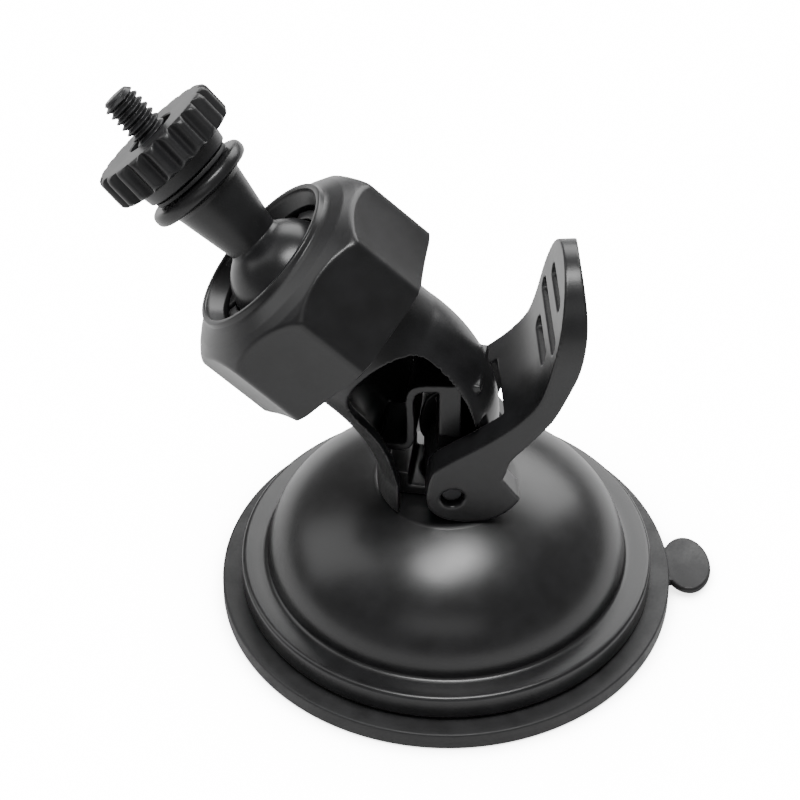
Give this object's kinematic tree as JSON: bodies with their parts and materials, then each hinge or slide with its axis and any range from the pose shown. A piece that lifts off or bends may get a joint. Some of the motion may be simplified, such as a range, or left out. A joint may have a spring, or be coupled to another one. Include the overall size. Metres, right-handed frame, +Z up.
{
  "type": "suction mount for a dash camera",
  "caption": "Lever-locked suction base with a curved hollow arm, an eight-sided clamp nut, a ball joint and a camera screw with a scalloped thumbwheel.",
  "frame": {"origin": "centre of the suction pad's underside, on the surface it stands on", "axes": "+Z up out of the surface along the pull stem; the arm leans towards -X in the XZ plane; the lever is on the +X side"},
  "size_m": [0.1065, 0.0806, 0.1006],
  "materials": {
    "pad_rubber": "matte black soft rubber",
    "stem_nylon": "matte black nylon",
    "pin_steel": "dull steel",
    "lever_plastic": "satin black",
    "dome_plastic": "satin black, softly glossy dome",
    "arm_plastic": "satin black",
    "screw_zinc": "zinc plated",
    "seat_plastic": "matte black acetal",
    "nut_plastic": "satin black",
    "stud_plastic": "satin black",
    "screw_black": "black oxide steel",
    "washer_plastic": "matte black",
    "wheel_plastic": "satin black"
  },
  "bodies": {
    "base": {"suction_pad": "pad_rubber", "dome_housing": "dome_plastic", "arm": "arm_plastic", "arm_screw_a": "screw_zinc", "arm_screw_b": "screw_zinc"},
    "stem": {"pull_stem": "stem_nylon", "lever_pin": "pin_steel"},
    "lever": {"cam_lever": "lever_plastic"},
    "nut": {"clamp_nut": "nut_plastic"},
    "seat": {"ball_seat": "seat_plastic"},
    "stud": {"ball_stud": "stud_plastic", "tripod_screw": "screw_black"},
    "washer": {"wheel_washer": "washer_plastic"},
    "wheel": {"thumbwheel": "wheel_plastic"}
  },
  "joints": [
    {"name": "stem_lift", "type": "slide", "parent": "base", "child": "stem", "axis": [0, 0, 1], "range_m": [0, 0.00482], "deforming": ["suction_pad"]},
    {"name": "lever_pivot", "type": "hinge", "parent": "stem", "child": "lever", "pos_m": [0, 0, 0.0326], "axis": [-0.1994, 0.9799, 0], "range_deg": [0, 60]},
    {"name": "nut_turn", "type": "hinge", "parent": "base", "child": "nut", "pos_m": [-0.0173, 0, 0.06], "axis": [-0.7314, 0, 0.682], "range_deg": [0, 180]},
    {"name": "ball_swivel", "type": "hinge", "parent": "base", "child": "seat", "pos_m": [-0.02706, 0, 0.0691], "axis": [-0.7314, 0, 0.682], "continuous": true},
    {"name": "ball_tilt", "type": "hinge", "parent": "seat", "child": "stud", "pos_m": [-0.02706, 0, 0.0691], "axis": [-0.6784, 0.1028, -0.7275], "range_deg": [-46, 25]},
    {"name": "wheel_travel", "type": "slide", "parent": "stud", "child": "washer", "axis": [-0.7049, 0.188, 0.6839], "range_m": [0, 0.00381]},
    {"name": "wheel_turn", "type": "hinge", "parent": "washer", "child": "wheel", "pos_m": [-0.04877, 0.00579, 0.09017], "axis": [-0.7049, 0.188, 0.6839], "range_deg": [0, 1082]}
  ],
  "couplings": [
    {"joint": "stem_lift", "follows": "lever_pivot", "m_per_rad": 0.0046},
    {"joint": "wheel_turn", "follows": "wheel_travel", "rad_per_m": 4947.4}
  ]
}
